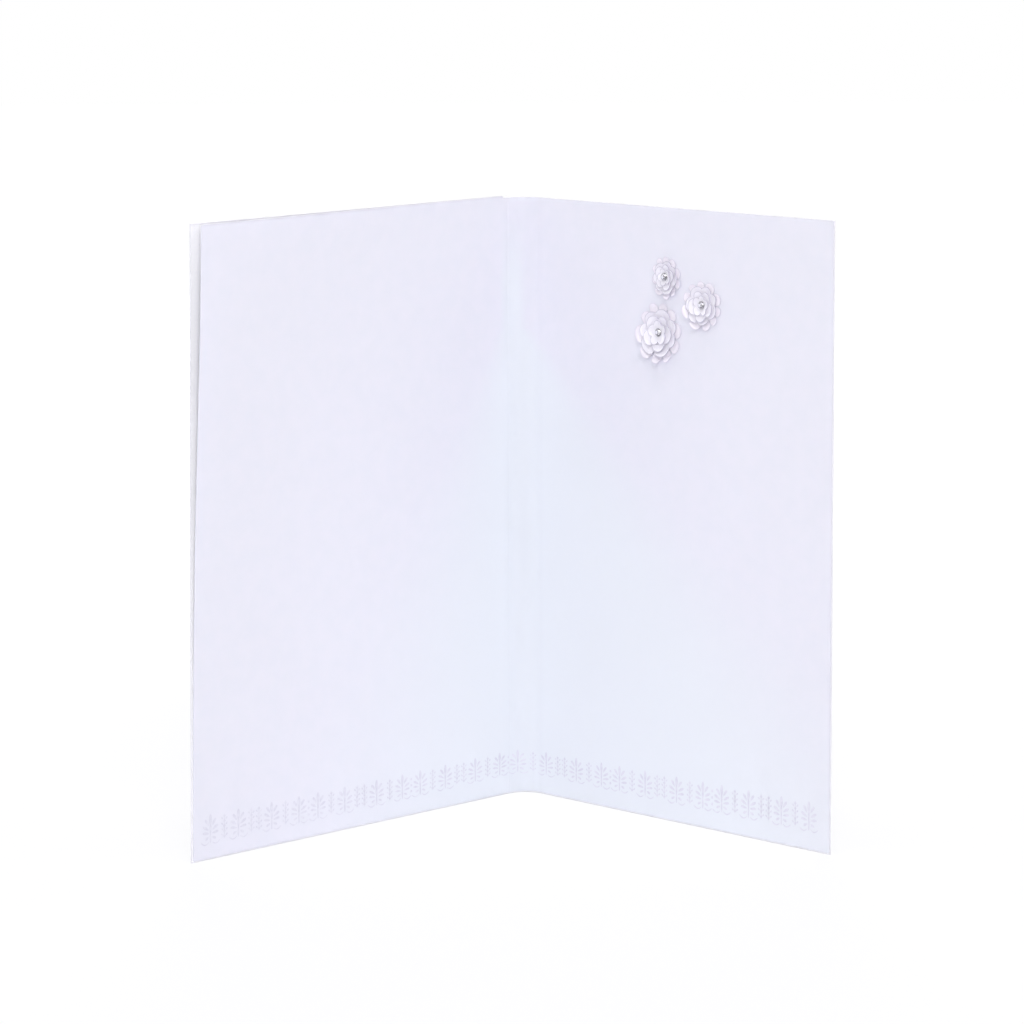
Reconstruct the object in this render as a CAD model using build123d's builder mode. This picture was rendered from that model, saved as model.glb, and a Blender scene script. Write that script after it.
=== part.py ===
from build123d import *
import os
from math import cos, pi, radians, tan

os.makedirs("parts", exist_ok=True)

# Greeting card that stands open like a screen on its bottom edges: a folded cover of white board,
# a folded sheet of paper inside it, and three layered paper flowers on the right page.
# Millimetres and degrees. The origin is at the foot of the score, on the cover's inner face.
# +Z is up, +Y points out behind the fold, and the card opens towards -Y.

# Sheet sizes: the insert is trimmed a little smaller than the cover
leaf_width = 148.5
card_height = 210.0
board_thickness = 0.40
page_width_trim = 0.5
page_height_trim = 1.2
page_width = leaf_width - page_width_trim
page_height = card_height - page_height_trim
page_thickness = 0.20
page_lift = 0.5
page_gap = 0.10
leaf_step = 0.7
step_back = 1.3

# Fold: how far each leaf is turned away from the straight back, seen from above
right_leaf_turn = 45.7
left_leaf_turn_foot = 45.5
left_leaf_turn_top = 47.0
page_fan = 1.6
fan_sections = 8
fold_radius = 8.2

# Paper flowers: diameter, distance from the score along the page, distance below the card's top
petal_paper = 0.22
glue_film = 0.10
small_flower_diameter = 13.0
small_flower_along = 73.9
small_flower_below_top = 23.2
medium_flower_diameter = 17.0
medium_flower_along = 91.0
medium_flower_below_top = 31.6
large_flower_diameter = 20.6
large_flower_along = 71.2
large_flower_below_top = 42.2

# Flat-backed stones: a straight girdle, then rings of facets up to the table, each with its height
# and its lean from upright
stone_diameter = 2.8
stone_sides = 12
girdle_height = 0.15
crown_rings = ((0.45, 38), (0.35, 55))
stone_margin = 0.1

# Petal layers from the page outwards: number of petals, reach as a share of the flower's radius, half
# width of a petal as a share of that reach, and degrees the petals are bent up from the flat middle
layer_names = ("base", "outer", "inner", "heart")
petal_counts = (10, 7, 5, 5)
reach_shares = (1.00, 0.80, 0.62, 0.42)
half_width_shares = (0.22, 0.38, 0.44, 0.42)
petal_bend_angles = (0, 0, 8.5, 17)
petal_root_share = 1.15

# How far each layer is turned on its flower, in the same order
small_flower_turns = (17, 31, 6, 42)
medium_flower_turns = (24, 22, 48, 12)
large_flower_turns = (7, 24, 60, 24)


# The curl of the fold starts at the score and runs into the right leaf
curl_turn = left_leaf_turn_foot + right_leaf_turn
curl_length = fold_radius * radians(curl_turn)
curl_centre = Vector(0, -fold_radius).rotate(Axis.Z, left_leaf_turn_foot)
right_direction = Vector(1, 0).rotate(Axis.Z, -right_leaf_turn)


def sheet_section(height, depth, thickness, reach, left_turn):
    """Folded sheet seen from above, at one height.

    depth is how far its inner face stands behind the cover's inner face, and reach is the width
    of each leaf, measured from the score along the cover's inner face.
    """
    left_direction = Vector(-1, 0).rotate(Axis.Z, left_turn)
    left_back = Vector(0, 1).rotate(Axis.Z, left_turn)
    with BuildSketch(Plane.XY.offset(height)) as section:
        with BuildLine():
            ends = []
            for face in (depth, depth + thickness):
                curl = CenterArc(curl_centre, fold_radius + face, 90 + left_leaf_turn_foot, -curl_turn)
                left_end = left_direction * reach + left_back * face
                right_end = (curl @ 1) + right_direction * (reach - curl_length)
                Line(left_end, curl @ 0)
                Line(curl @ 1, right_end)
                ends.append((left_end, right_end))
            for front, back in zip(*ends):
                Line(front, back)
        make_face()
    return section.sketch


# Cover: the left leaf is twisted, so its foot stands a little wider than its top
cover_top = card_height + leaf_step
with BuildPart() as cover:
    foot = sheet_section(0, 0, board_thickness, leaf_width, left_leaf_turn_foot)
    top = sheet_section(cover_top, 0, board_thickness, leaf_width, left_leaf_turn_top)
    loft([foot, top], ruled=True)
    # The right leaf and the fold were trimmed shorter than the left leaf
    with BuildSketch(Plane.XY.offset(card_height)):
        with Locations((-step_back, 0)):
            Rectangle(2 * leaf_width, 2 * leaf_width, align=(Align.MIN, Align.CENTER))
    extrude(amount=2 * leaf_step, mode=Mode.SUBTRACT)
cover.part.label = "cover"
export_step(cover.part, "parts/cover.step")


# Insert: its left leaf springs away from the cover towards the top
page_depth = -page_gap - page_thickness
with BuildPart() as insert:
    sections = []
    for section in range(fan_sections):
        share = section / (fan_sections - 1)
        height = page_lift + page_height * share
        leaf_turn = left_leaf_turn_foot + (left_leaf_turn_top - left_leaf_turn_foot) * height / cover_top
        fan = page_fan * (1 - cos(pi * share**1.5)) / 2
        sections.append(sheet_section(height, page_depth, page_thickness, page_width, leaf_turn + fan))
    loft(sections)
insert.part.label = "insert"
export_step(insert.part, "parts/insert.step")


# Flowers: each layer is a flat middle with petals that are bent up along its edge, on the layer below
page_normal = Vector(0, -1).rotate(Axis.Z, -right_leaf_turn)
page_start = curl_centre - page_normal * (fold_radius + page_depth)
middle_radius = stone_diameter / 2 + stone_margin
layer_pitch = petal_paper + glue_film


def page_plane(along, height, lift):
    """Plane on the right page, along it from the score and up from the foot, lifted off the page."""
    foot = page_start + right_direction * (along - curl_length) + page_normal * lift
    return Plane(origin=(foot.X, foot.Y, height), x_dir=right_direction, z_dir=page_normal)


flowers = {
    "small": (small_flower_diameter, small_flower_along, small_flower_below_top, small_flower_turns),
    "medium": (medium_flower_diameter, medium_flower_along, medium_flower_below_top, medium_flower_turns),
    "large": (large_flower_diameter, large_flower_along, large_flower_below_top, large_flower_turns),
}
for flower, (diameter, along, below_top, turns) in flowers.items():
    height = card_height - below_top
    for order, layer in enumerate(layer_names):
        petals = petal_counts[order]
        bend = petal_bend_angles[order]
        seat = page_plane(along, height, glue_film + order * layer_pitch)
        reach = reach_shares[order] * diameter / 2
        half_width = half_width_shares[order] * reach
        tip_centre = reach - middle_radius - half_width
        root = petal_root_share * middle_radius * tan(pi / petals)
        petal_turns = [turns[order] + 360 * petal / petals for petal in range(petals)]
        hinges = [
            seat.location * Rot(Z=turn) * Pos(X=middle_radius) * Rot(Y=-bend) for turn in petal_turns
        ]
        with BuildPart() as petal_layer:
            # The sides of the flat middle are the lines along which its petals are bent
            with BuildSketch(seat):
                corner_turn = turns[order] + 180 / petals
                RegularPolygon(middle_radius, petals, major_radius=False, rotation=corner_turn)
            extrude(amount=petal_paper)
            # A petal widens from its root on the hinge line to its round tip
            with BuildSketch(*hinges):
                with Locations((tip_centre, 0)):
                    Circle(half_width)
                sides = [(tip_centre, -half_width), (tip_centre, half_width)]
                Polygon((0, root), (0, -root), *sides, align=None)
                Rectangle(reach, 2 * reach, align=(Align.MIN, Align.CENTER), mode=Mode.INTERSECT)
            extrude(amount=petal_paper)
        petal_layer.part.label = f"{flower}_flower_{layer}"
        export_step(petal_layer.part, f"parts/{petal_layer.part.label}.step")

    # The stone sits on the flat middle of the heart layer
    stone_seat = page_plane(along, height, len(layer_names) * layer_pitch + glue_film)
    outwards = Axis(stone_seat.origin, page_normal)
    with BuildPart() as stone:
        with BuildSketch(stone_seat):
            RegularPolygon(stone_diameter / 2, stone_sides)
        extrude(amount=girdle_height)
        for rise, taper in crown_rings:
            extrude(faces().sort_by(outwards)[-1], amount=rise, taper=taper)
    stone.part.label = f"{flower}_flower_stone"
    export_step(stone.part, f"parts/{stone.part.label}.step")
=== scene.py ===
"""Looks of an open greeting card: folded cover, folded insert, printed border, paper flowers.

Sizes in the classes are millimetres and degrees, and meshes are metres in the frame of the CAD. A
point of a sheet is given by its place on the flat sheet: along is its distance from the score,
negative on the left leaf, up is its height, and depth is how far it lies behind the cover's inner
face, so that a negative depth is on the reader's side.
"""

import logging
from dataclasses import dataclass
from enum import Enum
from functools import cached_property
from math import cos, pi, radians, sin, tan

import bpy
import numpy as np
from mathutils import Matrix, Vector


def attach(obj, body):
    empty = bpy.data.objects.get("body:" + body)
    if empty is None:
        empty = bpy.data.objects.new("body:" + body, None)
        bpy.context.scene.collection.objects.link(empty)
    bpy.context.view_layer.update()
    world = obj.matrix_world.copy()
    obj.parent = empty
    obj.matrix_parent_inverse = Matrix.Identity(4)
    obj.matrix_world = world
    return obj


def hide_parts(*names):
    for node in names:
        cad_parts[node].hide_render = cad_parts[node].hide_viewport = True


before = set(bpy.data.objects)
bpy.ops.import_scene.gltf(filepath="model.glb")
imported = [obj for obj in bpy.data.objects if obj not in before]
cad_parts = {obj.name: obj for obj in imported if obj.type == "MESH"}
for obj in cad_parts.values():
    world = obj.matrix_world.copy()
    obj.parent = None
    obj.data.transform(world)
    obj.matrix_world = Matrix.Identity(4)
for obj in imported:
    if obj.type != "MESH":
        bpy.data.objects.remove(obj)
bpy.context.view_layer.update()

# A millimetre in metres, and how many millimetres make a metre
MILLIMETRE = 0.001
MILLIMETRES_IN_METRE = 1000.0
# The UV maps of the flat sheets span this many millimetres, with the score at this share of the span
UV_SPAN = 300.0
UV_SCORE = 0.5
# Depth of the insert's inner face, the page
PAGE_FRONT = -0.30
# Where two faces meet at more than this angle, the edge between them is sharp
SHARP_EDGE = radians(35)

# A Mix node's sockets for colours have numbers, because those for plain values have the same names
COLOUR_A = 6
COLOUR_B = 7
MIXED = 2
MIX_COLOURS = {"data_type": "RGBA"}
SMOOTH = {"interpolation_type": "SMOOTHSTEP"}

Tree = bpy.types.NodeTree
Socket = bpy.types.NodeSocket
# What a node's inputs are set to or linked from, by their names or numbers
Inputs = dict[str | int, object]

log = logging.getLogger("greeting_card")


def linear(colour: str) -> tuple[float, float, float, float]:
    """Turn an sRGB hex colour into linear light, by the sRGB standard's curve.

    Args:
        colour: Six hex digits after a hash sign.

    Returns:
        Linear red, green and blue, and an alpha of one.
    """
    channels = np.array([int(colour[i : i + 2], 16) for i in (1, 3, 5)]) / 255
    light = np.where(channels <= 0.04045, channels / 12.92, ((channels + 0.055) / 1.055) ** 2.4)
    return (*light.tolist(), 1.0)


def add_node(
    tree: Tree,
    kind: str,
    inputs: Inputs | None = None,
    settings: dict[str, object] | None = None,
) -> bpy.types.Node:
    """Add a node with its settings, values and links.

    Args:
        tree: Node tree that takes the node.
        kind: Blender's type name of the node, without ShaderNode in front.
        inputs: For each input's name or number, a value to set or an output socket to link.
        settings: For each property's name, its value.

    Returns:
        The new node.
    """
    node = tree.nodes.new(f"ShaderNode{kind}")
    for name, value in (settings or {}).items():
        setattr(node, name, value)
    for name, value in (inputs or {}).items():
        if isinstance(value, Socket):
            tree.links.new(value, node.inputs[name])
        else:
            node.inputs[name].default_value = value
    return node


def ring_faces(rings: int, points: int) -> np.ndarray:
    """Quads between rings of points that are numbered ring by ring.

    Each quad joins a point to the next in its ring and to the two above them, and the last point of
    a ring is followed by its first.

    Args:
        rings: Number of rings.
        points: Points in each ring.

    Returns:
        Point numbers, four for each quad.
    """
    corner, base = np.meshgrid(np.arange(points), np.arange(rings - 1) * points)
    following = (corner + 1) % points
    quads = (base + corner, base + following, base + points + following, base + points + corner)
    return np.stack(quads, axis=-1).reshape(-1, 4)


def enclosed_volume(points: np.ndarray, faces: list[np.ndarray]) -> float:
    """Volume inside a closed surface, which is negative where its faces point inwards.

    Each face is a fan of triangles, and each triangle adds a sixth of the triple product of its
    corners.

    Args:
        points: Places of the points.
        faces: Arrays of point numbers, one row for each face.

    Returns:
        The volume in the cube of the points' unit.
    """
    total = 0.0
    for group in faces:
        first = points[group[:, 0]]
        for corner in range(1, group.shape[1] - 1):
            edge_cross = np.cross(points[group[:, corner]], points[group[:, corner + 1]])
            total += float(np.sum(first * edge_cross)) / 6
    return total


def make_piece(
    name: str,
    points: np.ndarray,
    faces: list[np.ndarray],
    finish: "Finish",
    flat: np.ndarray | None = None,
) -> bpy.types.Object:
    """Make a closed piece whose faces point outwards, and let it ride on the card.

    Args:
        name: Name of the piece.
        points: Places in millimetres, one row for each point.
        faces: Arrays of point numbers, one row for each face.
        finish: Finish that the piece wears.
        flat: Place of each point on the flat sheet, kept as the piece's UV map.

    Returns:
        The new object.
    """
    if enclosed_volume(points, faces) < 0:
        faces = [group[:, ::-1] for group in faces]
    mesh = bpy.data.meshes.new(name)
    rows = [face for group in faces for face in group.tolist()]
    mesh.from_pydata((points * MILLIMETRE).tolist(), [], rows)
    mesh.shade_smooth()
    mesh.set_sharp_from_angle(angle=SHARP_EDGE)
    if flat is not None:
        corners = np.empty(len(mesh.loops), dtype=np.int32)
        mesh.loops.foreach_get("vertex_index", corners)
        unit = flat / UV_SPAN + np.array([UV_SCORE, 0.0])
        mesh.uv_layers.new(name="UVMap").data.foreach_set("uv", unit[corners].ravel())
    mesh.materials.append(finish.material)
    piece = bpy.data.objects.new(name, mesh)
    bpy.context.scene.collection.objects.link(piece)
    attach(piece, "root")
    log.info("%s: %d faces", name, len(mesh.polygons))
    return piece


def toned(tree: Tree, level: Socket, span: tuple[float, float], first: str, second: str) -> Socket:
    """Colour that goes from one tone to another as a pattern's level goes through a span.

    Args:
        tree: Node tree of the material.
        level: Level of the pattern.
        span: Levels at which the first tone ends and the second is reached.
        first: First tone, as sRGB hex.
        second: Second tone, as sRGB hex.

    Returns:
        The colour.
    """
    low, high = span
    reach = {"Value": level, "From Min": low, "From Max": high}
    share = add_node(tree, "MapRange", reach).outputs[0]
    mix = {"Factor": share, COLOUR_A: linear(first), COLOUR_B: linear(second)}
    return add_node(tree, "Mix", mix, MIX_COLOURS).outputs[MIXED]


def mark_edges(piece: bpy.types.Object, nearness: np.ndarray) -> None:
    """Keep each point's nearness to the paper's cut edge, from 0 to 1, on the piece."""
    near_edge = piece.data.attributes.new("near_edge", "FLOAT", "POINT")
    near_edge.data.foreach_set("value", nearness.astype(np.float32))


def paint_edge_shade(tree: Tree, paper: Socket, edge: str, share: float) -> Socket:
    """Blend a paper's colour towards a painted edge shade, by the points' nearness to the cut edge.

    Args:
        tree: Node tree of the material.
        paper: Colour of the paper.
        edge: Colour of the painted shade at the cut edge, as sRGB hex.
        share: How much of the painted edge shade shows on the edge itself.

    Returns:
        The blended colour.
    """
    near = {"attribute_name": "near_edge", "attribute_type": "GEOMETRY"}
    nearness = add_node(tree, "Attribute", settings=near).outputs["Fac"]
    level = {"Value": nearness, "To Max": share}
    edge_shaded = add_node(tree, "MapRange", level).outputs[0]
    mix = {"Factor": edge_shaded, COLOUR_A: paper, COLOUR_B: linear(edge)}
    return add_node(tree, "Mix", mix, MIX_COLOURS).outputs[MIXED]


def seeping(share: float, reach: float) -> Inputs:
    """Inputs of a paper's shader that let light seep sideways in it and come through in part.

    Args:
        share: How much of the light seeps.
        reach: How far it seeps, in millimetres.

    Returns:
        The inputs' values.
    """
    return {
        "Subsurface Weight": share,
        "Subsurface Radius": (1.0, 1.0, 1.0),
        "Subsurface Scale": reach * MILLIMETRE,
    }


@dataclass(frozen=True)
class FeltMarkedBoard:
    """White folding board, 300 gsm, marked with a felt while damp: matt, with a soft fine tooth."""

    name: str = "felt_marked_white_board"
    slot: str = "cover_board"
    hollow: str = "#F7F6FC"
    tooth: str = "#FDFCFF"
    tone_span: tuple[float, float] = (0.7, 1.3)
    mark_size: float = 0.9
    mark_detail: float = 3.0
    mark_roughness: float = 0.6
    mark_depth: float = 0.03
    mark_strength: float = 0.6
    cloud_size: float = 14.0
    cloud_detail: float = 2.0
    # Painted shade along the cut edges, drawn as a dark outline
    edge_shade: str = "#B9B6C4"
    edge_shade_share: float = 0.3
    roughness: float = 0.72
    specular: float = 0.3
    seep_share: float = 0.6
    seep_reach: float = 0.3

    def dress(self, tree: Tree) -> Inputs:
        """Marks of the felt, in clouds of more and less, and painted shade along the cut edges.

        The board's tone goes from hollow to tooth with the sum of the marks and the clouds.

        Args:
            tree: Node tree of the material.

        Returns:
            The inputs of the shader.
        """
        place = add_node(tree, "UVMap", settings={"uv_map": "UVMap"}).outputs[0]
        scale = {"Vector": place, "Scale": (UV_SPAN, UV_SPAN, UV_SPAN)}
        flat = add_node(tree, "Mapping", scale).outputs[0]
        felt = {
            "Vector": flat,
            "Scale": 1 / self.mark_size,
            "Detail": self.mark_detail,
            "Roughness": self.mark_roughness,
        }
        marks = add_node(tree, "TexNoise", felt).outputs[0]
        cloud = {"Vector": flat, "Scale": 1 / self.cloud_size, "Detail": self.cloud_detail}
        clouds = add_node(tree, "TexNoise", cloud).outputs[0]
        both = add_node(tree, "Math", {0: marks, 1: clouds}, {"operation": "ADD"}).outputs[0]
        board = toned(tree, both, self.tone_span, self.hollow, self.tooth)
        relief = {
            "Height": marks,
            "Strength": self.mark_strength,
            "Distance": self.mark_depth * MILLIMETRE,
        }
        return {
            "Base Color": paint_edge_shade(tree, board, self.edge_shade, self.edge_shade_share),
            "Normal": add_node(tree, "Bump", relief).outputs[0],
            "Roughness": self.roughness,
            "Specular IOR Level": self.specular,
            **seeping(self.seep_share, self.seep_reach),
        }


@dataclass(frozen=True)
class PearlPaper:
    """Pearl-coated paper, 120 gsm, mica on a smooth sheet: cool white with a low, wide gloss.

    About the fold the colour goes from lilac to a painted blue tint of the light bounced between
    the leaves. The curl carries painted shade, the fold's foot a painted pool of light and the score
    a painted crease shade.
    """

    name: str = "pearl_coated_paper"
    slot: str = "insert_paper"
    shade: str = "#E4E4EE"
    light: str = "#E6E5EF"
    cloud_size: float = 6.0
    cloud_detail: float = 3.0
    cloud_span: tuple[float, float] = (0.35, 0.65)
    # Painted blue tint of the light bounced between the leaves, about the fold
    bounce_tint: str = "#E5E8EF"
    bounce_foot_width: float = 165.0
    bounce_top_width: float = 6.0
    bounce_taper_height: float = 165.0
    bounce_aside: float = 0.3
    bounce_reach: tuple[float, float] = (0.3, 1.1)
    bounce_top_fade: tuple[float, float] = (182.0, 204.0)
    # Painted shade on the curl, which the lamps light more than the leaves
    curl_shade: str = "#F6F6F7"
    curl_middle: float = 6.0
    curl_half_width: float = 10.0
    # Painted pool of light about the fold's foot, which the lamps don't bring
    foot_light: str = "#EDF0F6"
    foot_light_share: float = 0.24
    foot_light_width: float = 90.0
    foot_light_height: float = 110.0
    # Painted crease shade along the score
    score: str = "#D9D9E5"
    crease_shade_share: float = 0.15
    score_half_width: float = 0.22
    # Painted shade along the cut edges, drawn as a dark outline
    edge_shade: str = "#B9B6C4"
    edge_shade_share: float = 0.12
    grain_size: float = 0.5
    grain_detail: float = 2.0
    grain_depth: float = 0.006
    grain_strength: float = 0.5
    roughness: float = 0.68
    specular: float = 0.2
    sheen: float = 0.05
    seep_share: float = 0.5
    seep_reach: float = 0.2

    def painted_bounce_share(self, tree: Tree, along: Socket, up: Socket) -> Socket:
        """How far the colour has gone from lilac to the painted blue tint of bounce light.

        The painted blue zone is narrow at the top, widens evenly towards the foot and lies more on
        the right leaf. The distance from the score is taken as a share of the zone's half width at that
        height. The painted tint is full up to the first share of bounce_reach and gone at the second,
        and it fades out towards the fold's top.

        Args:
            tree: Node tree of the material.
            along: Distance from the score.
            up: Height.

        Returns:
            The share of ice blue.
        """
        taper = {
            "Value": up,
            "From Max": self.bounce_taper_height,
            "To Min": self.bounce_foot_width,
            "To Max": self.bounce_top_width,
        }
        zone = add_node(tree, "MapRange", taper).outputs[0]
        share = add_node(tree, "Math", {0: along, 1: zone}, {"operation": "DIVIDE"}).outputs[0]
        aside = {0: share, 1: self.bounce_aside}
        shifted = add_node(tree, "Math", aside, {"operation": "SUBTRACT"}).outputs[0]
        off_bounce = add_node(tree, "Math", {0: shifted}, {"operation": "ABSOLUTE"}).outputs[0]
        full, none = self.bounce_reach
        reach = {"Value": off_bounce, "From Min": full, "From Max": none, "To Min": 1.0, "To Max": 0.0}
        turned = add_node(tree, "MapRange", reach, SMOOTH).outputs[0]
        start, end = self.bounce_top_fade
        fade = {"Value": up, "From Min": start, "From Max": end, "To Min": 1.0, "To Max": 0.0}
        kept = add_node(tree, "MapRange", fade).outputs[0]
        both = {0: turned, 1: kept}
        return add_node(tree, "Math", both, {"operation": "MULTIPLY"}).outputs[0]

    def paint_fold_light_and_shade(self, tree: Tree, paper: Socket, along: Socket, up: Socket) -> Socket:
        """Painted light and shade about the fold, put on the paper's colour.

        On the curl it is multiplied by a painted shade, most of all in the curl's middle. Then it
        goes to a painted pool of light at the fold's foot with the product of two shares, which fall
        off with the distance from the score and with the height, and last to a painted crease shade
        along the score.

        Args:
            tree: Node tree of the material.
            paper: Colour of the paper before the painted light and shade.
            along: Distance from the score.
            up: Height.

        Returns:
            The colour with the painted light and shade.
        """
        offset = {0: along, 1: -self.curl_middle}
        off_curl = add_node(tree, "Math", offset, {"operation": "ADD"}).outputs[0]
        off_middle = add_node(tree, "Math", {0: off_curl}, {"operation": "ABSOLUTE"}).outputs[0]
        reach = {"Value": off_middle, "From Max": self.curl_half_width, "To Min": 1.0, "To Max": 0.0}
        curl_shade_share = add_node(tree, "MapRange", reach, SMOOTH).outputs[0]
        # Painted shade on the curl
        mix = {"Factor": curl_shade_share, COLOUR_A: paper, COLOUR_B: linear(self.curl_shade)}
        multiply = {**MIX_COLOURS, "blend_type": "MULTIPLY"}
        fold_painted = add_node(tree, "Mix", mix, multiply).outputs[MIXED]
        away = add_node(tree, "Math", {0: along}, {"operation": "ABSOLUTE"}).outputs[0]
        # Painted pool of light about the fold's foot
        reach = {"Value": away, "From Max": self.foot_light_width, "To Min": 1.0, "To Max": 0.0}
        by_score = add_node(tree, "MapRange", reach, SMOOTH).outputs[0]
        reach = {"Value": up, "From Max": self.foot_light_height, "To Min": self.foot_light_share, "To Max": 0.0}
        by_foot = add_node(tree, "MapRange", reach, SMOOTH).outputs[0]
        both = {0: by_score, 1: by_foot}
        foot_lit = add_node(tree, "Math", both, {"operation": "MULTIPLY"}).outputs[0]
        mix = {"Factor": foot_lit, COLOUR_A: fold_painted, COLOUR_B: linear(self.foot_light)}
        fold_painted = add_node(tree, "Mix", mix, MIX_COLOURS).outputs[MIXED]
        # Painted crease shade along the score
        reach = {
            "Value": away,
            "From Max": self.score_half_width,
            "To Min": self.crease_shade_share,
            "To Max": 0.0,
        }
        crease_shade = add_node(tree, "MapRange", reach).outputs[0]
        mix = {"Factor": crease_shade, COLOUR_A: fold_painted, COLOUR_B: linear(self.score)}
        return add_node(tree, "Mix", mix, MIX_COLOURS).outputs[MIXED]

    def dress(self, tree: Tree) -> Inputs:
        """Clouds of fibre under the pearl coat, a painted blue tint of bounce light, painted light and
        shade about the fold, and a fine grain.

        Args:
            tree: Node tree of the material.

        Returns:
            The inputs of the shader.
        """
        place = add_node(tree, "UVMap", settings={"uv_map": "UVMap"}).outputs[0]
        centred = {
            "Vector": place,
            "Location": (-UV_SCORE * UV_SPAN, 0, 0),
            "Scale": (UV_SPAN, UV_SPAN, UV_SPAN),
        }
        flat = add_node(tree, "Mapping", centred).outputs[0]
        along, up, _ = add_node(tree, "SeparateXYZ", {0: flat}).outputs
        cloud = {"Vector": flat, "Scale": 1 / self.cloud_size, "Detail": self.cloud_detail}
        clouds = add_node(tree, "TexNoise", cloud).outputs[0]
        lilac = toned(tree, clouds, self.cloud_span, self.shade, self.light)
        # Painted blue tint of the light bounced between the leaves, about the fold
        bounce_share = self.painted_bounce_share(tree, along, up)
        mix = {"Factor": bounce_share, COLOUR_A: lilac, COLOUR_B: linear(self.bounce_tint)}
        paper = add_node(tree, "Mix", mix, MIX_COLOURS).outputs[MIXED]
        # Painted shade on the curl, a painted pool of light at the fold's foot and painted crease shade
        # along the score
        folded = self.paint_fold_light_and_shade(tree, paper, along, up)
        # Real grain is about 0.1 mm and is drawn coarser, so that it shows in a close view
        grain = {"Vector": flat, "Scale": 1 / self.grain_size, "Detail": self.grain_detail}
        tooth = add_node(tree, "TexNoise", grain).outputs[0]
        relief = {
            "Height": tooth,
            "Strength": self.grain_strength,
            "Distance": self.grain_depth * MILLIMETRE,
        }
        return {
            "Base Color": paint_edge_shade(tree, folded, self.edge_shade, self.edge_shade_share),
            "Normal": add_node(tree, "Bump", relief).outputs[0],
            "Roughness": self.roughness,
            "Specular IOR Level": self.specular,
            "Sheen Weight": self.sheen,
            **seeping(self.seep_share, self.seep_reach),
        }


@dataclass(frozen=True)
class PetalPaper:
    """Thin petal paper, pressed and dyed lightly: soft and matt, with long fibres that show."""

    name: str
    body: str
    fibre: str
    rim_shade_share: float
    slot: str = "petal_paper"
    # Painted shade along the cut edge, drawn as the petals' dark outline
    edge: str = "#A8A3B6"
    fibre_width: float = 0.35
    fibre_length: float = 2.2
    fibre_detail: float = 3.0
    fibre_waviness: float = 0.4
    fibre_span: tuple[float, float] = (0.35, 0.7)
    fibre_depth: float = 0.02
    fibre_strength: float = 0.5
    roughness: float = 0.8
    specular: float = 0.25
    sheen: float = 0.1
    seep_share: float = 0.6
    seep_reach: float = 0.4

    def dress(self, tree: Tree) -> Inputs:
        """Long fibres that lie up and down the page, and painted shade along the cut edge.

        Args:
            tree: Node tree of the material.

        Returns:
            The inputs of the shader.
        """
        place = add_node(tree, "TexCoord").outputs["Object"]
        across = MILLIMETRES_IN_METRE / self.fibre_width
        lengthways = MILLIMETRES_IN_METRE / self.fibre_length
        stretch = {"Vector": place, "Scale": (across, across, lengthways)}
        fibres = add_node(tree, "Mapping", stretch).outputs[0]
        noise = {
            "Vector": fibres,
            "Scale": 1.0,
            "Detail": self.fibre_detail,
            "Distortion": self.fibre_waviness,
        }
        felted = add_node(tree, "TexNoise", noise).outputs[0]
        paper = toned(tree, felted, self.fibre_span, self.body, self.fibre)
        relief = {
            "Height": felted,
            "Strength": self.fibre_strength,
            "Distance": self.fibre_depth * MILLIMETRE,
        }
        return {
            "Base Color": paint_edge_shade(tree, paper, self.edge, self.rim_shade_share),
            "Normal": add_node(tree, "Bump", relief).outputs[0],
            "Roughness": self.roughness,
            "Specular IOR Level": self.specular,
            "Sheen Weight": self.sheen,
            **seeping(self.seep_share, self.seep_reach),
        }


@dataclass(frozen=True)
class FoilBackedStone:
    """Cut acrylic stone with a silver foil back, whose facets are painted bright and dark by turns as
    reflections.
    """

    name: str = "foil_backed_acrylic"
    slot: str = "stone"
    # Painted reflections: dark and bright tones of the facets
    dark: str = "#5E5C66"
    bright: str = "#FBFAFF"
    crinkle_size: float = 0.8
    crinkle_detail: float = 1.0
    crinkle_span: tuple[float, float] = (0.3, 0.7)
    crinkle_swing: float = 0.08
    roughness: float = 0.08
    foil_share: float = 0.75
    face_share: float = 0.6
    face_roughness: float = 0.03
    acrylic_ior: float = 1.49

    def dress(self, tree: Tree) -> Inputs:
        """Each facet's painted reflection tone, moved a little by the foil's crinkles.

        Args:
            tree: Node tree of the material.

        Returns:
            The inputs of the shader.
        """
        tone = {"attribute_name": "painted_facet_shine", "attribute_type": "GEOMETRY"}
        facet = add_node(tree, "Attribute", settings=tone).outputs["Fac"]
        place = add_node(tree, "TexCoord").outputs["Object"]
        fineness = MILLIMETRES_IN_METRE / self.crinkle_size
        noise = {"Vector": place, "Scale": fineness, "Detail": self.crinkle_detail}
        crinkle = add_node(tree, "TexNoise", noise).outputs[0]
        low, high = self.crinkle_span
        swing = {
            "Value": crinkle,
            "From Min": low,
            "From Max": high,
            "To Min": -self.crinkle_swing,
            "To Max": self.crinkle_swing,
        }
        shift = add_node(tree, "MapRange", swing).outputs[0]
        both = add_node(tree, "Math", {0: facet, 1: shift}, {"operation": "ADD"}).outputs[0]
        mix = {"Factor": both, COLOUR_A: linear(self.dark), COLOUR_B: linear(self.bright)}
        return {
            "Base Color": add_node(tree, "Mix", mix, MIX_COLOURS).outputs[MIXED],
            "Roughness": self.roughness,
            "Metallic": self.foil_share,
            "Coat Weight": self.face_share,
            "Coat Roughness": self.face_roughness,
            "Coat IOR": self.acrylic_ior,
        }


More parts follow.
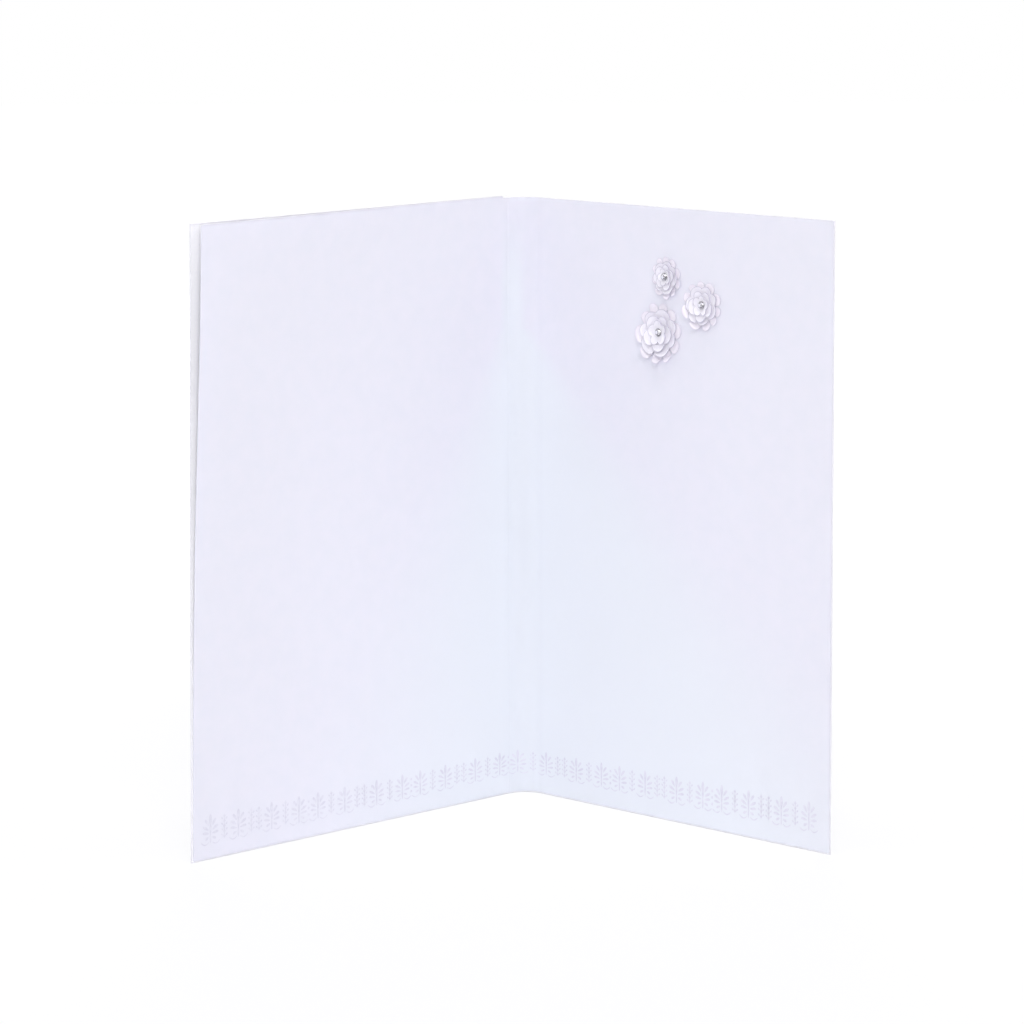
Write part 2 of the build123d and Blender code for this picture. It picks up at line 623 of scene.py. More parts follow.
@dataclass(frozen=True)
class PearlInk:
    """Pale lilac screen ink with a little mica: a thin matt film with a soft sheen."""

    name: str = "pearl_lilac_ink"
    slot: str = "insert_paper"
    thin: str = "#E0DFEA"
    full: str = "#D7D6E3"
    blot_size: float = 1.4
    blot_detail: float = 2.0
    blot_span: tuple[float, float] = (0.35, 0.65)
    roughness: float = 0.5
    sheen: float = 0.1

    def dress(self, tree: Tree) -> Inputs:
        """Film that lies thinner and fuller in blots.

        Args:
            tree: Node tree of the material.

        Returns:
            The inputs of the shader.
        """
        place = add_node(tree, "TexCoord").outputs["Object"]
        fineness = MILLIMETRES_IN_METRE / self.blot_size
        noise = {"Vector": place, "Scale": fineness, "Detail": self.blot_detail}
        blots = add_node(tree, "TexNoise", noise).outputs[0]
        return {
            "Base Color": toned(tree, blots, self.blot_span, self.thin, self.full),
            "Roughness": self.roughness,
            "Sheen Weight": self.sheen,
        }


class Finish(Enum):
    """Finishes of the card's pieces."""

    BOARD = FeltMarkedBoard()
    PAPER = PearlPaper()
    BASE_PETAL = PetalPaper("pearl_pink_petal_paper", body="#F1EBF7", fibre="#F5EFFA", rim_shade_share=0.4)
    PETAL = PetalPaper("white_petal_paper", body="#ECE9F4", fibre="#F2EFF8", rim_shade_share=0.8)
    STONE = FoilBackedStone()
    INK = PearlInk()

    @cached_property
    def material(self) -> bpy.types.Material:
        """The finish's material, which is made when a piece first wears it."""
        material = bpy.data.materials.new(self.value.name)
        material.use_nodes = True
        tree = material.node_tree
        tree.nodes.clear()
        shader = add_node(tree, "BsdfPrincipled", self.value.dress(tree))
        add_node(tree, "OutputMaterial", {"Surface": shader.outputs[0]})
        return material


@dataclass(frozen=True)
class Fold:
    """How a folded sheet of the card lies in space.

    The left leaf's turn grows from the foot to twist_height. An insert's left leaf also fans out
    from the cover by fan degrees, from fan_foot upwards over fan_height.
    """

    radius: float = 8.2
    right_turn: float = 45.7
    left_turn_foot: float = 45.5
    left_turn_top: float = 47.0
    twist_height: float = 210.7
    reach: float = 148.5
    fan: float = 0.0
    fan_foot: float = 0.5
    fan_height: float = 208.8
    fan_power: float = 1.5

    @property
    def curl_length(self) -> float:
        """Length of the curl between the score and the right leaf, on the cover's inner face."""
        return self.radius * radians(self.left_turn_foot + self.right_turn)

    def left_turn(self, up: np.ndarray) -> np.ndarray:
        """Turn of the left leaf at each height.

        It grows evenly from the foot to the top, and the fan adds half of itself times one less the
        cosine of pi times the height's share to the fan's power.

        Args:
            up: Heights.

        Returns:
            The turns in radians.
        """
        share = np.clip((up - self.fan_foot) / self.fan_height, 0, 1)
        fan = self.fan * (1 - np.cos(pi * share**self.fan_power)) / 2
        twist = (self.left_turn_top - self.left_turn_foot) * up / self.twist_height
        return np.radians(self.left_turn_foot + twist + fan)

    def place(self, along: np.ndarray, up: np.ndarray, depth: np.ndarray) -> np.ndarray:
        """Put points of the flat sheet on the folded one.

        Left of the score a point lies between the score and the free edge, by its share of the
        leaf's reach. On the curl it lies on an arc about the curl's centre, whose radius is that of
        the fold plus the depth, and the angle falls by the distance over the radius. Beyond the
        curl it goes straight on along the right leaf.

        Args:
            along: Distances from the score.
            up: Heights.
            depth: Distances behind the cover's inner face.

        Returns:
            Places in millimetres, one row for each point.
        """
        along, up, depth = (np.asarray(part, dtype=float).ravel() for part in (along, up, depth))
        foot_turn = radians(self.left_turn_foot)
        turn = self.left_turn(up)
        share = np.clip(-along / self.reach, 0, None)
        edge_x = -np.cos(turn) * self.reach - np.sin(turn) * depth
        edge_y = -np.sin(turn) * self.reach + np.cos(turn) * depth
        left_x = (1 - share) * -sin(foot_turn) * depth + share * edge_x
        left_y = (1 - share) * cos(foot_turn) * depth + share * edge_y
        centre_x, centre_y = self.radius * sin(foot_turn), -self.radius * cos(foot_turn)
        angle = pi / 2 + foot_turn - np.clip(along, 0, self.curl_length) / self.radius
        beyond = np.clip(along - self.curl_length, 0, None)
        right_x = centre_x + (self.radius + depth) * np.cos(angle) + beyond * cos(radians(self.right_turn))
        right_y = centre_y + (self.radius + depth) * np.sin(angle) - beyond * sin(radians(self.right_turn))
        left = along < 0
        return np.stack([np.where(left, left_x, right_x), np.where(left, left_y, right_y), up], axis=-1)


@dataclass(frozen=True)
class Sheet:
    """Folded sheet with thickness, closed all round.

    On the left leaf the wide columns end at leaf_end and the close ones begin at near_start, both
    given as shares of the leaf's reach. hair is a length too short to see, by which two points
    are still told apart.
    """

    node: str
    finish: Finish
    fold: Fold
    front: float
    thickness: float
    foot: float
    top: float
    right_reach: float
    leaf_step: float
    step_back: float
    score_depth: float = 0.0
    score_half_width: float = 0.5
    leaf_columns: int = 60
    leaf_end: float = 0.03
    near_columns: int = 40
    near_start: float = 0.028
    curl_columns: int = 72
    score_columns: int = 13
    rows: int = 64
    edge_width: float = 0.35
    hair: float = 0.01
    column_digits: int = 4

    def columns(self) -> np.ndarray:
        """Where the grid's columns stand, close together on the curl, the score and the step.

        Returns:
            Distances from the score, from the left edge to the right.
        """
        leaf = self.fold.reach * np.linspace(1, self.leaf_end, self.leaf_columns)
        near = np.linspace(-self.near_start * self.fold.reach, 0, self.near_columns)
        curl = np.linspace(0, self.fold.curl_length, self.curl_columns)[1:]
        score = np.linspace(-self.score_half_width, self.score_half_width, self.score_columns)
        step = np.array([-self.step_back - self.hair, -self.step_back + self.hair])
        right = np.linspace(self.fold.curl_length, self.right_reach, self.leaf_columns)[1:]
        edges = np.array([self.edge_width - self.fold.reach, self.right_reach - self.edge_width])
        columns = np.concatenate([-leaf, near, score, step, curl, right, edges])
        return np.unique(np.round(columns, self.column_digits))

    def build(self) -> None:
        """Build the sheet and hide the solid that it stands for.

        Each row of the grid goes along the front face and back along the back face. The score is a
        groove in the front face whose depth falls off with the square of a cosine. Only the last
        row steps up to the left leaf's top.
        """
        along = self.columns()
        groove = np.cos(np.clip(along / self.score_half_width, -1, 1) * pi / 2) ** 2 * self.score_depth
        ring_along = np.concatenate([along, along[::-1]])
        back = np.full_like(along, self.front + self.thickness)
        ring_depth = np.concatenate([self.front + groove, back])
        heights = np.linspace(self.foot, self.top, self.rows)
        edges = [self.foot + self.edge_width, self.top - self.edge_width]
        heights = np.sort(np.append(heights, edges))
        up = np.repeat(heights[:, None], len(ring_along), axis=1)
        up[-1] += np.where(ring_along < -self.step_back, self.leaf_step, 0)
        across = np.broadcast_to(ring_along, up.shape)
        points = self.fold.place(across, up, np.broadcast_to(ring_depth, up.shape))
        walls = ring_faces(len(heights), len(ring_along))
        # The foot and the top are strips between the two faces
        count = len(along)
        front = np.arange(count - 1)
        strip = np.stack([front, 2 * count - 1 - front, 2 * count - 2 - front, front + 1], axis=-1)
        last = (len(heights) - 1) * len(ring_along)
        flat = np.stack([across.ravel(), up.ravel()], axis=-1)
        faces = [walls, strip, strip[:, ::-1] + last]
        piece = make_piece(f"{self.node}_sheet", points, faces, self.finish, flat)
        on_left = flat[:, 0] < self.hair - self.fold.reach
        on_right = flat[:, 0] > self.right_reach - self.hair
        on_end = (flat[:, 1] > self.top - self.hair) | (flat[:, 1] < self.foot + self.hair)
        # Nearness to the cut edge, where the finish paints its edge shade
        mark_edges(piece, on_left | on_right | on_end)
        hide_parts(self.node)


@dataclass(frozen=True)
class BorderPrint:
    """Border of palmettes printed along the foot of the insert, mirrored about the score.

    A stroke is a row of eight numbers: the places on the page of its start, the point that it bends
    towards and its end, then half its width at its start and end. Places are millimetres across and
    up from the motif's foot. Where the border stands, how far it slips aside and how high it is
    are given at the distances from the score in course_along, and run evenly between them.
    """

    fold: Fold
    period: float = 48.0
    repeats: int = 3
    near_palmette: float = 4.35
    far_palmette: float = 16.6
    near_divider: float = 10.4
    far_divider: float = 22.3
    divider_beads: tuple[float, ...] = (2.0, 3.75, 5.5, 7.25, 9.0)
    divider_leaves: tuple[float, ...] = (2.6, 4.5, 6.4, 8.3)
    knot_beads: tuple[float, ...] = (2.8, 5.2, 7.6)
    course_along: tuple[float, ...] = (-148.0, -60.0, 0.0, 13.0, 65.0, 148.0)
    course_up: tuple[float, ...] = (4.5, 5.4, 6.5, 6.2, 5.8, 5.9)
    course_slip: tuple[float, ...] = (-0.9, 0.1, -0.3, -1.0, -0.7, -0.3)
    course_height: tuple[float, ...] = (1.0, 0.88, 0.82, 0.82, 0.92, 1.0)
    film: float = 0.02
    lift: float = 0.008
    spread: float = 1.5
    tip: float = 0.06
    least_slope: float = 1e-9
    steps: int = 6
    margin: float = 4.0

    def palmette(self) -> np.ndarray:
        """Half a palmette: its stem and bud, four club-shaped leaves, and the arc under them."""
        return np.array([
            (0.0, 1.0, 0.0, 3.0, 0.0, 5.0, 0.20, 0.24),
            (0.0, 4.4, 0.0, 6.0, 0.0, 7.6, 0.24, 0.32),
            (0.0, 7.2, 0.0, 9.0, 0.0, 10.8, 0.48, 0.40),
            (0.9, 7.0, 1.3, 8.1, 2.4, 9.2, 0.20, 0.46),
            (0.9, 5.5, 1.7, 6.1, 3.3, 6.9, 0.20, 0.46),
            (0.8, 4.3, 1.9, 4.6, 3.4, 4.7, 0.20, 0.42),
            (0.8, 3.1, 1.4, 2.9, 2.3, 2.3, 0.22, 0.38),
            (0.8, 1.4, 2.3, -0.3, 4.1, 1.6, 0.14, 0.18),
        ])

    def divider(self) -> np.ndarray:
        """Half a divider: a thin stem, the beads on it and the small leaves on one side of it."""
        stem = [(0.0, 1.6, 0.0, 6.0, 0.0, 10.2, 0.12, 0.12)]
        beads = [(0.0, up, 0.0, up + 0.4, 0.0, up + 0.8, 0.36, 0.36) for up in self.divider_beads]
        leaves = [(0.6, up, 0.9, up + 0.2, 1.3, up + 0.7, 0.16, 0.24) for up in self.divider_leaves]
        return np.array([*stem, *beads, *leaves])

    def knot(self) -> np.ndarray:
        """Beads between the two palmettes in the middle of the motif."""
        return np.array([(0.0, up, 0.0, up + 0.5, 0.0, up + 1.0, 0.32, 0.32) for up in self.knot_beads])

    def mirrored(self, half: np.ndarray) -> np.ndarray:
        """Strokes of half a motif together with their mirror images.

        Args:
            half: Strokes of the motif's right half and those on its middle.

        Returns:
            All the motif's strokes, with those on its middle kept once.
        """
        off_middle = half[np.abs(half[:, [0, 2, 4]]).max(axis=1) > 0]
        return np.concatenate([half, off_middle * np.array([-1, 1, -1, 1, -1, 1, 1, 1])])

    def strokes(self) -> np.ndarray:
        """All the strokes on the page, each motif shifted to its place along the border.

        Returns:
            The strokes, without those too near the page's edges.
        """
        shift = np.array([1, 0, 1, 0, 1, 0, 0, 0])
        parts = [self.mirrored(self.knot())]
        for side in (-1, 1):
            for along in (self.near_palmette, self.far_palmette):
                parts.append(self.mirrored(self.palmette()) + side * along * shift)
            for along in (self.near_divider, self.far_divider):
                parts.append(self.mirrored(self.divider()) + side * along * shift)
        motif = np.concatenate(parts)
        units = range(-self.repeats, self.repeats + 1)
        strokes = np.concatenate([motif + unit * self.period * shift for unit in units])
        edge = self.fold.reach - self.margin
        return strokes[np.abs(strokes[:, [0, 2, 4]]).max(axis=1) < edge]

    def build(self) -> None:
        """Lay each stroke as a thin film of ink on the page.

        A stroke's middle line is a curve of the second degree through its start and end, bent
        towards its middle point. Its edges stand off that line by its width, which changes evenly
        from one end to the other, times the square root of a sine that is low at both tips. Where
        the motifs are lower the strokes are finer too.
        """
        strokes = self.strokes()
        start, bend, end = (strokes[:, None, i : i + 2] for i in (0, 2, 4))
        t = np.linspace(0, 1, self.steps)[None, :, None]
        line = (1 - t) ** 2 * start + 2 * t * (1 - t) * bend + t**2 * end
        slope = 2 * (1 - t) * (bend - start) + 2 * t * (end - bend)
        # The least slope keeps a stroke of no length from being divided by nothing
        slope /= np.linalg.norm(slope, axis=-1, keepdims=True) + self.least_slope
        side = np.stack([-slope[..., 1], slope[..., 0]], axis=-1)
        width = self.spread * (strokes[:, None, 6:7] * (1 - t) + strokes[:, None, 7:8] * t)
        width = width * np.sqrt(np.sin(pi * (self.tip + (1 - 2 * self.tip) * t)))
        width = width * np.interp(start[..., :1], self.course_along, self.course_height)
        left, right = line + side * width, line - side * width
        # Four corners around each step: two on the page's side of the film, two on the reader's
        ring = np.stack([left, right, right, left], axis=2)
        lift = np.array([self.lift, self.lift, self.lift + self.film, self.lift + self.film])
        depth = np.broadcast_to(PAGE_FRONT - lift, ring.shape[:3])
        foot, slip, height = (
            np.interp(ring[..., 0], self.course_along, part)
            for part in (self.course_up, self.course_slip, self.course_height)
        )
        points = self.fold.place(ring[..., 0] + slip, ring[..., 1] * height + foot, depth)
        corners = ring.shape[2]
        tube = ring_faces(self.steps, corners)
        cap = np.arange(corners)[None, ::-1]
        caps = np.concatenate([cap, cap[:, ::-1] + corners * (self.steps - 1)])
        first = np.arange(len(strokes))[:, None, None] * corners * self.steps
        faces = [(first + tube).reshape(-1, corners), (first + caps).reshape(-1, corners)]
        make_piece("border_print", points, faces, Finish.INK)


@dataclass(frozen=True)
class PetalLayer:
    """One layer of a flower: petals around a flat middle, cut from one piece of paper.

    share is the layer's reach as a share of the flower's radius, and half_width half the width of a
    petal as a share of that reach. Petals are bent up by bend degrees. On the full-sized flower
    their sides stand about cup over their middle line at the rim, and from curl_start, a share of
    the reach, their tips curl up by curl, and by up to spring more where the flower leans.
    """

    name: str
    finish: Finish
    petals: int
    share: float
    half_width: float
    bend: float
    cup: float
    curl: float
    curl_start: float
    spring: float


@dataclass(frozen=True)
class PaperFlower:
    """Layered paper flower glued to the right page, with a stone in its heart.

    Petals are cut shorter than their layer's reach by up to the share shorter, longer by up to the
    share lean where the flower leans, and moved aside by up to unevenness, in radians. ruffle is
    how much one petal's curl differs from another's.
    """

    name: str
    diameter: float
    along: float
    up: float
    turns: tuple[float, float, float, float]
    lean_turn: float
    seed: int
    fold: Fold
    full_size: float = 20.6
    paper: float = 0.22
    glue: float = 0.10
    middle: float = 1.5
    edge_width: float = 0.16
    lean: float = 0.14
    shorter: float = 0.07
    unevenness: float = 0.11
    ruffle: float = 0.35
    notch_slope: float = 6.0
    notch_depth: float = 0.5
    cup_start: float = 0.55
    column_step: float = 1.5
    radial_steps: int = 22
    first_ring: float = 0.06
    layers: tuple[PetalLayer, ...] = (
        PetalLayer(
            "base", Finish.BASE_PETAL, petals=10, share=1.00, half_width=0.22,
            bend=0, cup=0.10, curl=0.30, curl_start=0.84, spring=0.9,
        ),
        PetalLayer(
            "outer", Finish.PETAL, petals=7, share=0.80, half_width=0.38,
            bend=0, cup=0.25, curl=0.45, curl_start=0.70, spring=0.6,
        ),
        PetalLayer(
            "inner", Finish.PETAL, petals=5, share=0.62, half_width=0.44,
            bend=6, cup=0.30, curl=0.35, curl_start=0.62, spring=0.3,
        ),
        PetalLayer(
            "heart", Finish.PETAL, petals=5, share=0.42, half_width=0.42,
            bend=12, cup=0.20, curl=0.20, curl_start=0.60, spring=0.0,
        ),
    )

    def outline(self, layer: PetalLayer, around: np.ndarray, turn: float) -> tuple[np.ndarray, ...]:
        """Radius of the layer's edge in each direction, and the direction's share of its petal.

        In a petal the edge is the far side of a circle: the centre's distance times the cosine of
        the angle from the petal's middle, plus the square root of the circle's radius squared less
        the centre's distance times the sine squared. Between narrow petals it falls to a notch. The
        petals on the side to which the flower leans are the longest, and a wave with two crests
        around the flower moves them a little aside.

        Args:
            layer: The layer.
            around: Directions in radians, from the page's right.
            turn: How far the layer is turned, in degrees.

        Returns:
            The radii in millimetres, shares from -1 to 1 across each petal, and how much each
            direction's curl is of the layer's.
        """
        reach = layer.share * self.diameter / 2
        pitch = 2 * pi / layer.petals
        aside = self.unevenness * np.sin(2 * around + self.seed + layer.petals)
        order = np.round((around + aside - radians(turn)) / pitch)
        angle = around + aside - radians(turn) - order * pitch
        # Each petal is cut a little longer or shorter than the next, and curls more or less
        chance = np.random.default_rng(self.seed + layer.petals)
        petal = order.astype(int) % layer.petals
        reach = reach * (1 - chance.uniform(0, self.shorter, layer.petals)[petal])
        across = angle / (pitch / 2)
        ruffled = 1 + chance.uniform(-self.ruffle, self.ruffle, layer.petals)[petal] * (1 - across**2)
        leaning = np.cos(radians(turn - self.lean_turn) + order * pitch)
        reach = reach * (1 + self.lean * np.clip(leaning, 0, None))
        radius = layer.half_width * reach
        centre = reach - radius
        under = radius**2 - (centre * np.sin(angle)) ** 2
        round_end = centre * np.cos(angle) + np.sqrt(np.clip(under, 0, None))
        fallen = np.clip(-under / radius**2 * self.notch_slope, 0, self.notch_depth)
        notch = np.where(under > 0, 1.0, 1 - fallen)
        return round_end * notch, across, ruffled

    def lift(
        self,
        layer: PetalLayer,
        radius: np.ndarray,
        around: np.ndarray,
        across: np.ndarray,
        ruffled: np.ndarray,
    ) -> np.ndarray:
        """Height of the layer's underside over its seat.

        Petals rise straight from the flat middle at the layer's bend. Their sides rise by the cup
        times twice the share of the radius beyond the cup's start, with the square of their share
        across the petal. Towards the rim the paper curls up with an even step of the last share of
        the radius, the square of it times three less twice the share, and most of all on the side
        to which the flower leans. A smaller flower's cups and curls are smaller in proportion.

        Args:
            layer: The layer.
            radius: Distances from the flower's middle.
            around: Directions in radians, from the page's right.
            across: Shares from -1 to 1 across each petal.
            ruffled: How much each direction's curl is of the layer's.

        Returns:
            The heights in millimetres.
        """
        out = np.clip(radius - self.middle, 0, None)
        bent = out * tan(radians(layer.bend))
        size = self.diameter / self.full_size
        share = radius / (layer.share * self.diameter / 2)
        last = np.clip((share - layer.curl_start) / (1 - layer.curl_start), 0, 1)
        cupped = layer.cup * size * np.clip(share - self.cup_start, 0, None) * 2 * across**2
        curl = layer.curl + layer.spring * (1 + np.cos(around - radians(self.lean_turn))) / 2
        return bent + cupped + ruffled * curl * size * last**2 * (3 - 2 * last)

    def build_layer(self, order: int) -> None:
        """Build one petal layer on the one below it and hide the solid that it stands for.

        The grid's parameters are the direction around the flower and the share of the way to the
        rim. The underside runs out to the rim and the upper side runs back, one paper thickness
        above it, and each side closes on a point in the middle. Nearness to the cut edge falls off
        with the square of the distance from it, as a bell does.

        Args:
            order: The layer's number, from the page outwards.
        """
        layer = self.layers[order]
        columns = int(360 / self.column_step)
        around = np.arange(columns) * 2 * pi / columns
        rim, across, ruffled = self.outline(layer, around, self.turns[order])
        share = np.sin(np.linspace(self.first_ring, 1, self.radial_steps) * pi / 2)[:, None]
        radius = share * rim[None, :]
        seat = self.glue + order * (self.paper + self.glue)
        under = seat + self.lift(layer, radius, around, across, ruffled)
        radius = np.concatenate([radius, radius[::-1]])
        lift = np.concatenate([under, under[::-1] + self.paper])
        local_x = np.concatenate([(radius * np.cos(around)).ravel(), [0, 0]])
        local_y = np.concatenate([(radius * np.sin(around)).ravel(), [0, 0]])
        lift = np.concatenate([lift.ravel(), [seat, seat + self.paper]])
        points = self.fold.place(self.along + local_x, self.up + local_y, PAGE_FRONT - lift)
        rows = 2 * self.radial_steps
        ring = np.arange(columns)
        following = (ring + 1) % columns
        pole = rows * columns
        last = (rows - 1) * columns
        bottom = np.stack([np.full(columns, pole), following, ring], axis=-1)
        top = np.stack([np.full(columns, pole + 1), last + ring, last + following], axis=-1)
        name = f"{self.name}_flower_{layer.name}"
        faces = [ring_faces(rows, columns), bottom, top]
        piece = make_piece(f"{name}_petals", points, faces, layer.finish)
        # The two points in the middle are as far from the edge as the flower is wide
        inside = np.append((np.tile(rim, (rows, 1)) - radius).ravel(), [self.diameter, self.diameter])
        # Nearness to the cut edge, where the petal paper paints its edge shade
        mark_edges(piece, np.exp(-((inside / self.edge_width) ** 2)))
        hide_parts(name)

    def build(self) -> None:
        """Build the flower's layers from the page outwards, then its stone."""
        for order in range(len(self.layers)):
            self.build_layer(order)
        seat = self.glue + len(self.layers) * (self.paper + self.glue)
        Stone(self.name, self.along, self.up, PAGE_FRONT - seat, self.fold, self.seed).build()


@dataclass(frozen=True)
class Stone:
    """Flat-backed cut stone: a girdle, two rows of facets and a table.

    Each ring of corners has its radius, its height and how many half sides it is turned. Each
    facet carries a painted reflection: outer facets are painted dark, as if they threw the light
    aside, and the table is a painted highlight of the bright foil, so the painted tones are drawn
    up to brightest for the girdle and the lower and upper facets.
    """

    flower: str
    along: float
    up: float
    depth: float
    fold: Fold
    seed: int
    sides: int = 12
    radii: tuple[float, ...] = (1.34, 1.40, 1.40, 1.06, 0.56)
    heights: tuple[float, ...] = (0.0, 0.03, 0.15, 0.60, 0.95)
    half_turns: tuple[int, ...] = (0, 0, 0, 1, 2)
    brightest: tuple[float, float, float] = (0.35, 0.55, 0.9)
    table_highlight: float = 1.0
    back_tone: float = 0.0

    def build(self) -> None:
        """Build the stone and hide the solid that it stands for.

        Each ring of corners over the girdle is turned by half a side from the ring below it, so
        that the facets between them are triangles, and the table and the back are the rings' own
        polygons.
        """
        ring = np.arange(self.sides)
        turned = np.array(self.half_turns)[:, None] / 2
        around = (ring[None, :] + turned) * 2 * pi / self.sides
        radius = np.array(self.radii)[:, None]
        across = (radius * np.cos(around)).ravel()
        height = (radius * np.sin(around)).ravel()
        depth = self.depth - np.repeat(self.heights, self.sides)
        points = self.fold.place(self.along + across, self.up + height, depth)
        following = (ring + 1) % self.sides
        # The rings that aren't turned stand straight over each other and make the girdle
        girdle = self.half_turns.count(0)
        walls = ring_faces(girdle, self.sides)
        facets = []
        for row in range(girdle - 1, len(self.radii) - 1):
            low, high = row * self.sides, (row + 1) * self.sides
            facets.append(np.stack([low + ring, low + following, high + ring], axis=-1))
            facets.append(np.stack([low + following, high + following, high + ring], axis=-1))
        table = (len(self.radii) - 1) * self.sides + ring[None, :]
        name = f"{self.flower}_flower_stone"
        faces = [walls, *facets, table, ring[None, ::-1]]
        piece = make_piece(f"{name}_cut", points, faces, Finish.STONE)
        piece.data.shade_flat()
        # Painted reflections: each facet a random tone up to its row's brightest, and the table a painted
        # highlight
        chance = np.random.default_rng(self.seed)
        brightest = np.repeat(self.brightest, (len(walls), 2 * self.sides, 2 * self.sides))
        tones = chance.uniform(0.0, 1.0, len(brightest)) * brightest
        tones = np.append(tones, [self.table_highlight, self.back_tone])
        painted_facet_shine = piece.data.attributes.new("painted_facet_shine", "FLOAT", "FACE")
        painted_facet_shine.data.foreach_set("value", tones.astype(np.float32))
        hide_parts(name)


def shown_directly(tree: Tree) -> Socket:
    """One where the camera, a gloss or a clear piece shows a surface, and zero where it lights others.

    Args:
        tree: Node tree that takes the nodes.

    Returns:
        The one or zero.
    """
    path = add_node(tree, "LightPath")
    seen = {0: path.outputs["Is Camera Ray"], 1: path.outputs["Is Glossy Ray"]}
    either = add_node(tree, "Math", seen, {"operation": "MAXIMUM"}).outputs[0]
    seen = {0: either, 1: path.outputs["Is Transmission Ray"]}
    return add_node(tree, "Math", seen, {"operation": "MAXIMUM"}).outputs[0]


@dataclass(frozen=True)
class SoftBox:
    """Large soft lamp: where it stands, its side, its power in watts and where it looks."""

    name: str
    place: tuple[float, float, float]
    side: float
    power: float
    target: tuple[float, float, float] = (0.0, -0.02, 0.1)

    def build(self) -> None:
        """Add the lamp, turned to its target."""
        lamp = bpy.data.lights.new(self.name, "AREA")
        lamp.shape = "SQUARE"
        lamp.size = self.side
        lamp.energy = self.power
        stand = bpy.data.objects.new(self.name, lamp)
        stand.location = self.place
        aim = Vector(self.target) - Vector(self.place)
        stand.rotation_euler = aim.to_track_quat("-Z", "Y").to_euler()
        bpy.context.scene.collection.objects.link(stand)


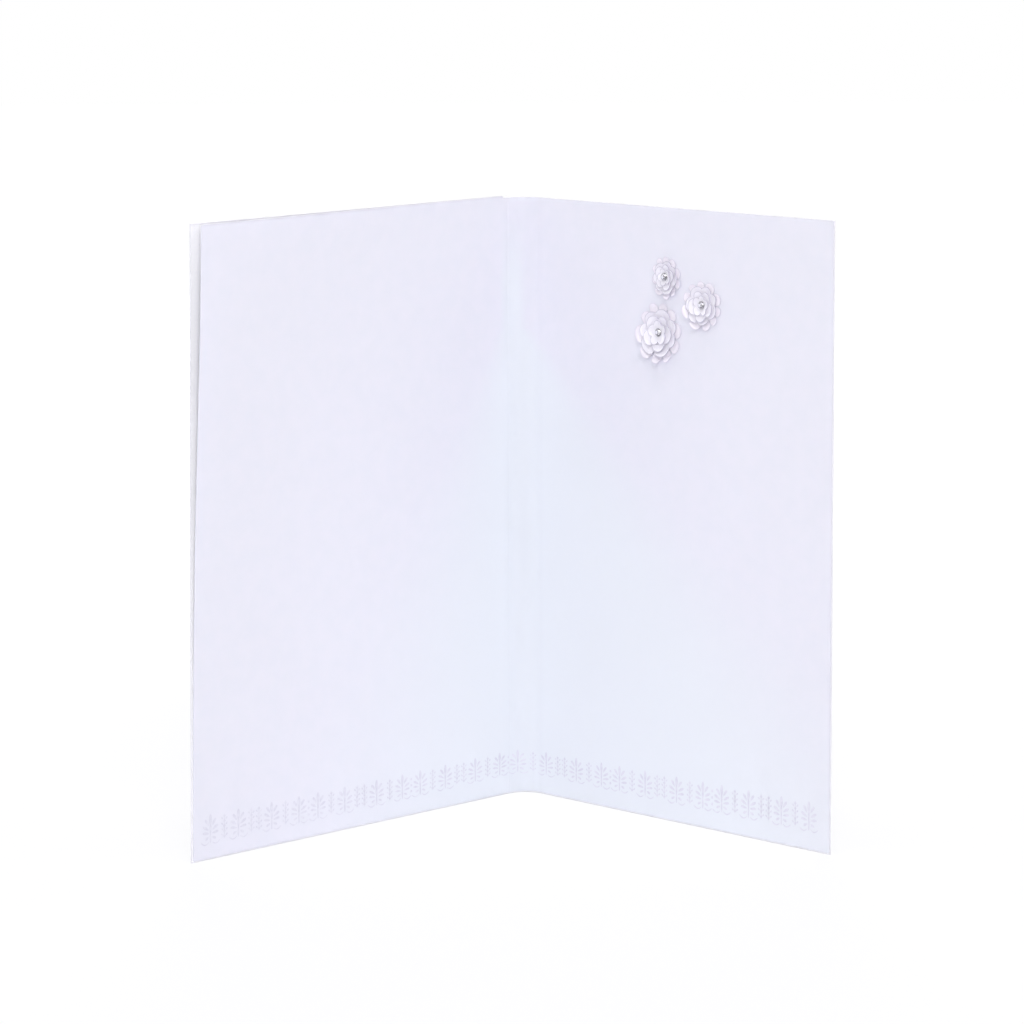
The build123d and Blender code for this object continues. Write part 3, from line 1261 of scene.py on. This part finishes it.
@dataclass(frozen=True)
class Studio:
    """White table and surroundings, soft lamps and the camera, in metres and degrees."""

    camera_place: tuple[float, float, float] = (0.00161, -1.53711, 0.33547)
    camera_pitch: float = 8.701
    camera_roll: float = -0.215
    lens: float = 156.77
    sensor: float = 36.0
    table_side: float = 8.0
    near_glow: float = 0.84
    far_glow: float = 0.945
    lit_centre: float = -0.4
    glow_reach: tuple[float, float] = (0.35, 1.8)
    table_colour: str = "#6A6A6E"
    bounce_colour: str = "#E6E6EA"
    white: str = "#FFFFFF"
    ambient: float = 0.39
    lamps: tuple[SoftBox, ...] = (
        SoftBox("overhead_lamp", (0.0, -0.3, 1.5), side=0.5, power=6.5),
        SoftBox("front_lamp", (0.1, -1.45, 1.15), side=0.5, power=9.4),
        SoftBox("low_front_lamp", (0.0, -1.7, 0.35), side=0.5, power=5.1),
        SoftBox("right_lamp", (1.5, -0.75, 0.7), side=0.7, power=3.0),
        SoftBox("left_lamp", (-1.5, -0.75, 0.7), side=0.7, power=3.0),
        SoftBox("back_lamp", (0.0, 1.5, 0.9), side=0.7, power=10.0),
    )

    def build_world(self) -> None:
        """Even surroundings that are white where they are shown directly, and dimmer as a lamp."""
        world = bpy.data.worlds.new("studio_surroundings")
        bpy.context.scene.world = world
        world.use_nodes = True
        tree = world.node_tree
        tree.nodes.clear()
        level = {"Value": shown_directly(tree), "To Min": self.ambient}
        strength = add_node(tree, "MapRange", level).outputs[0]
        white = {"Color": linear(self.white), "Strength": strength}
        glow = add_node(tree, "Background", white)
        add_node(tree, "OutputWorld", {"Surface": glow.outputs[0]})

    def build_table(self) -> None:
        """Table top that shows white with the card's faint shadow, and gives back a plain bounce."""
        half = self.table_side / 2
        mesh = bpy.data.meshes.new("table_top")
        corners = [(-half, -half, 0), (half, -half, 0), (half, half, 0), (-half, half, 0)]
        mesh.from_pydata(corners, [], [(0, 1, 2, 3)])
        table = bpy.data.objects.new("table_top", mesh)
        bpy.context.scene.collection.objects.link(table)
        material = bpy.data.materials.new("matt_white_laminate")
        material.use_nodes = True
        tree = material.node_tree
        tree.nodes.clear()
        bounce = add_node(tree, "BsdfDiffuse", {"Color": linear(self.bounce_colour)})
        shaded = add_node(tree, "BsdfDiffuse", {"Color": linear(self.table_colour)})
        # The lamps reach the table less the further off it lies, so it glows more there
        place = add_node(tree, "TexCoord").outputs["Object"]
        off = {0: place, 1: (0, self.lit_centre, 0)}
        distance = add_node(tree, "VectorMath", off, {"operation": "DISTANCE"}).outputs[1]
        start, end = self.glow_reach
        rise = {
            "Value": distance,
            "From Min": start,
            "From Max": end,
            "To Min": self.near_glow,
            "To Max": self.far_glow,
        }
        level = add_node(tree, "MapRange", rise).outputs[0]
        glow = add_node(tree, "Emission", {"Color": linear(self.white), "Strength": level})
        look = add_node(tree, "AddShader", {0: shaded.outputs[0], 1: glow.outputs[0]})
        mix = {0: shown_directly(tree), 1: bounce.outputs[0], 2: look.outputs[0]}
        surface = add_node(tree, "MixShader", mix)
        add_node(tree, "OutputMaterial", {"Surface": surface.outputs[0]})
        mesh.materials.append(material)

    def build_camera(self) -> None:
        """Camera at the photograph's viewing angle, looking a little down at the card."""
        camera = bpy.data.cameras.new("viewpoint")
        camera.lens = self.lens
        camera.sensor_width = self.sensor
        stand = bpy.data.objects.new("viewpoint", camera)
        tilt = Matrix.Rotation(radians(90 - self.camera_pitch), 4, "X")
        roll = Matrix.Rotation(radians(self.camera_roll), 4, "Z")
        stand.matrix_world = Matrix.Translation(self.camera_place) @ tilt @ roll
        bpy.context.scene.collection.objects.link(stand)
        bpy.context.scene.camera = stand

    def build(self) -> None:
        """Build the surroundings, the table, the lamps and the camera."""
        self.build_world()
        self.build_table()
        for lamp in self.lamps:
            lamp.build()
        self.build_camera()
        bpy.context.scene.view_settings.view_transform = "Standard"


def main() -> None:
    """Build the card from the cover to the stones, then the studio around it."""
    logging.basicConfig(level=logging.INFO, format="%(name)s: %(message)s")
    cover_fold = Fold()
    insert_fold = Fold(reach=147.95, fan=1.6)
    cover = Sheet(
        "cover", Finish.BOARD, cover_fold, front=0.0, thickness=0.40, foot=0.0, top=210.0,
        right_reach=148.5, leaf_step=0.7, step_back=1.9,
    )
    cover.build()
    insert = Sheet(
        "insert", Finish.PAPER, insert_fold, front=PAGE_FRONT, thickness=0.20, foot=0.5, top=209.9,
        right_reach=148.3, leaf_step=0.6, step_back=1.9, score_depth=0.05,
    )
    insert.build()
    BorderPrint(insert_fold).build()
    flowers = (
        PaperFlower(
            "small", diameter=14.0, along=73.9, up=186.8, turns=(17, 31, 6, 42), lean_turn=290,
            seed=11, fold=insert_fold,
        ),
        PaperFlower(
            "medium", diameter=17.0, along=91.0, up=178.4, turns=(24, 22, 48, 12), lean_turn=215,
            seed=23, fold=insert_fold,
        ),
        PaperFlower(
            "large", diameter=20.6, along=71.2, up=167.8, turns=(7, 24, 60, 24), lean_turn=230,
            seed=37, fold=insert_fold,
        ),
    )
    for flower in flowers:
        flower.build()
    Studio().build()


if __name__ == "__main__":
    main()
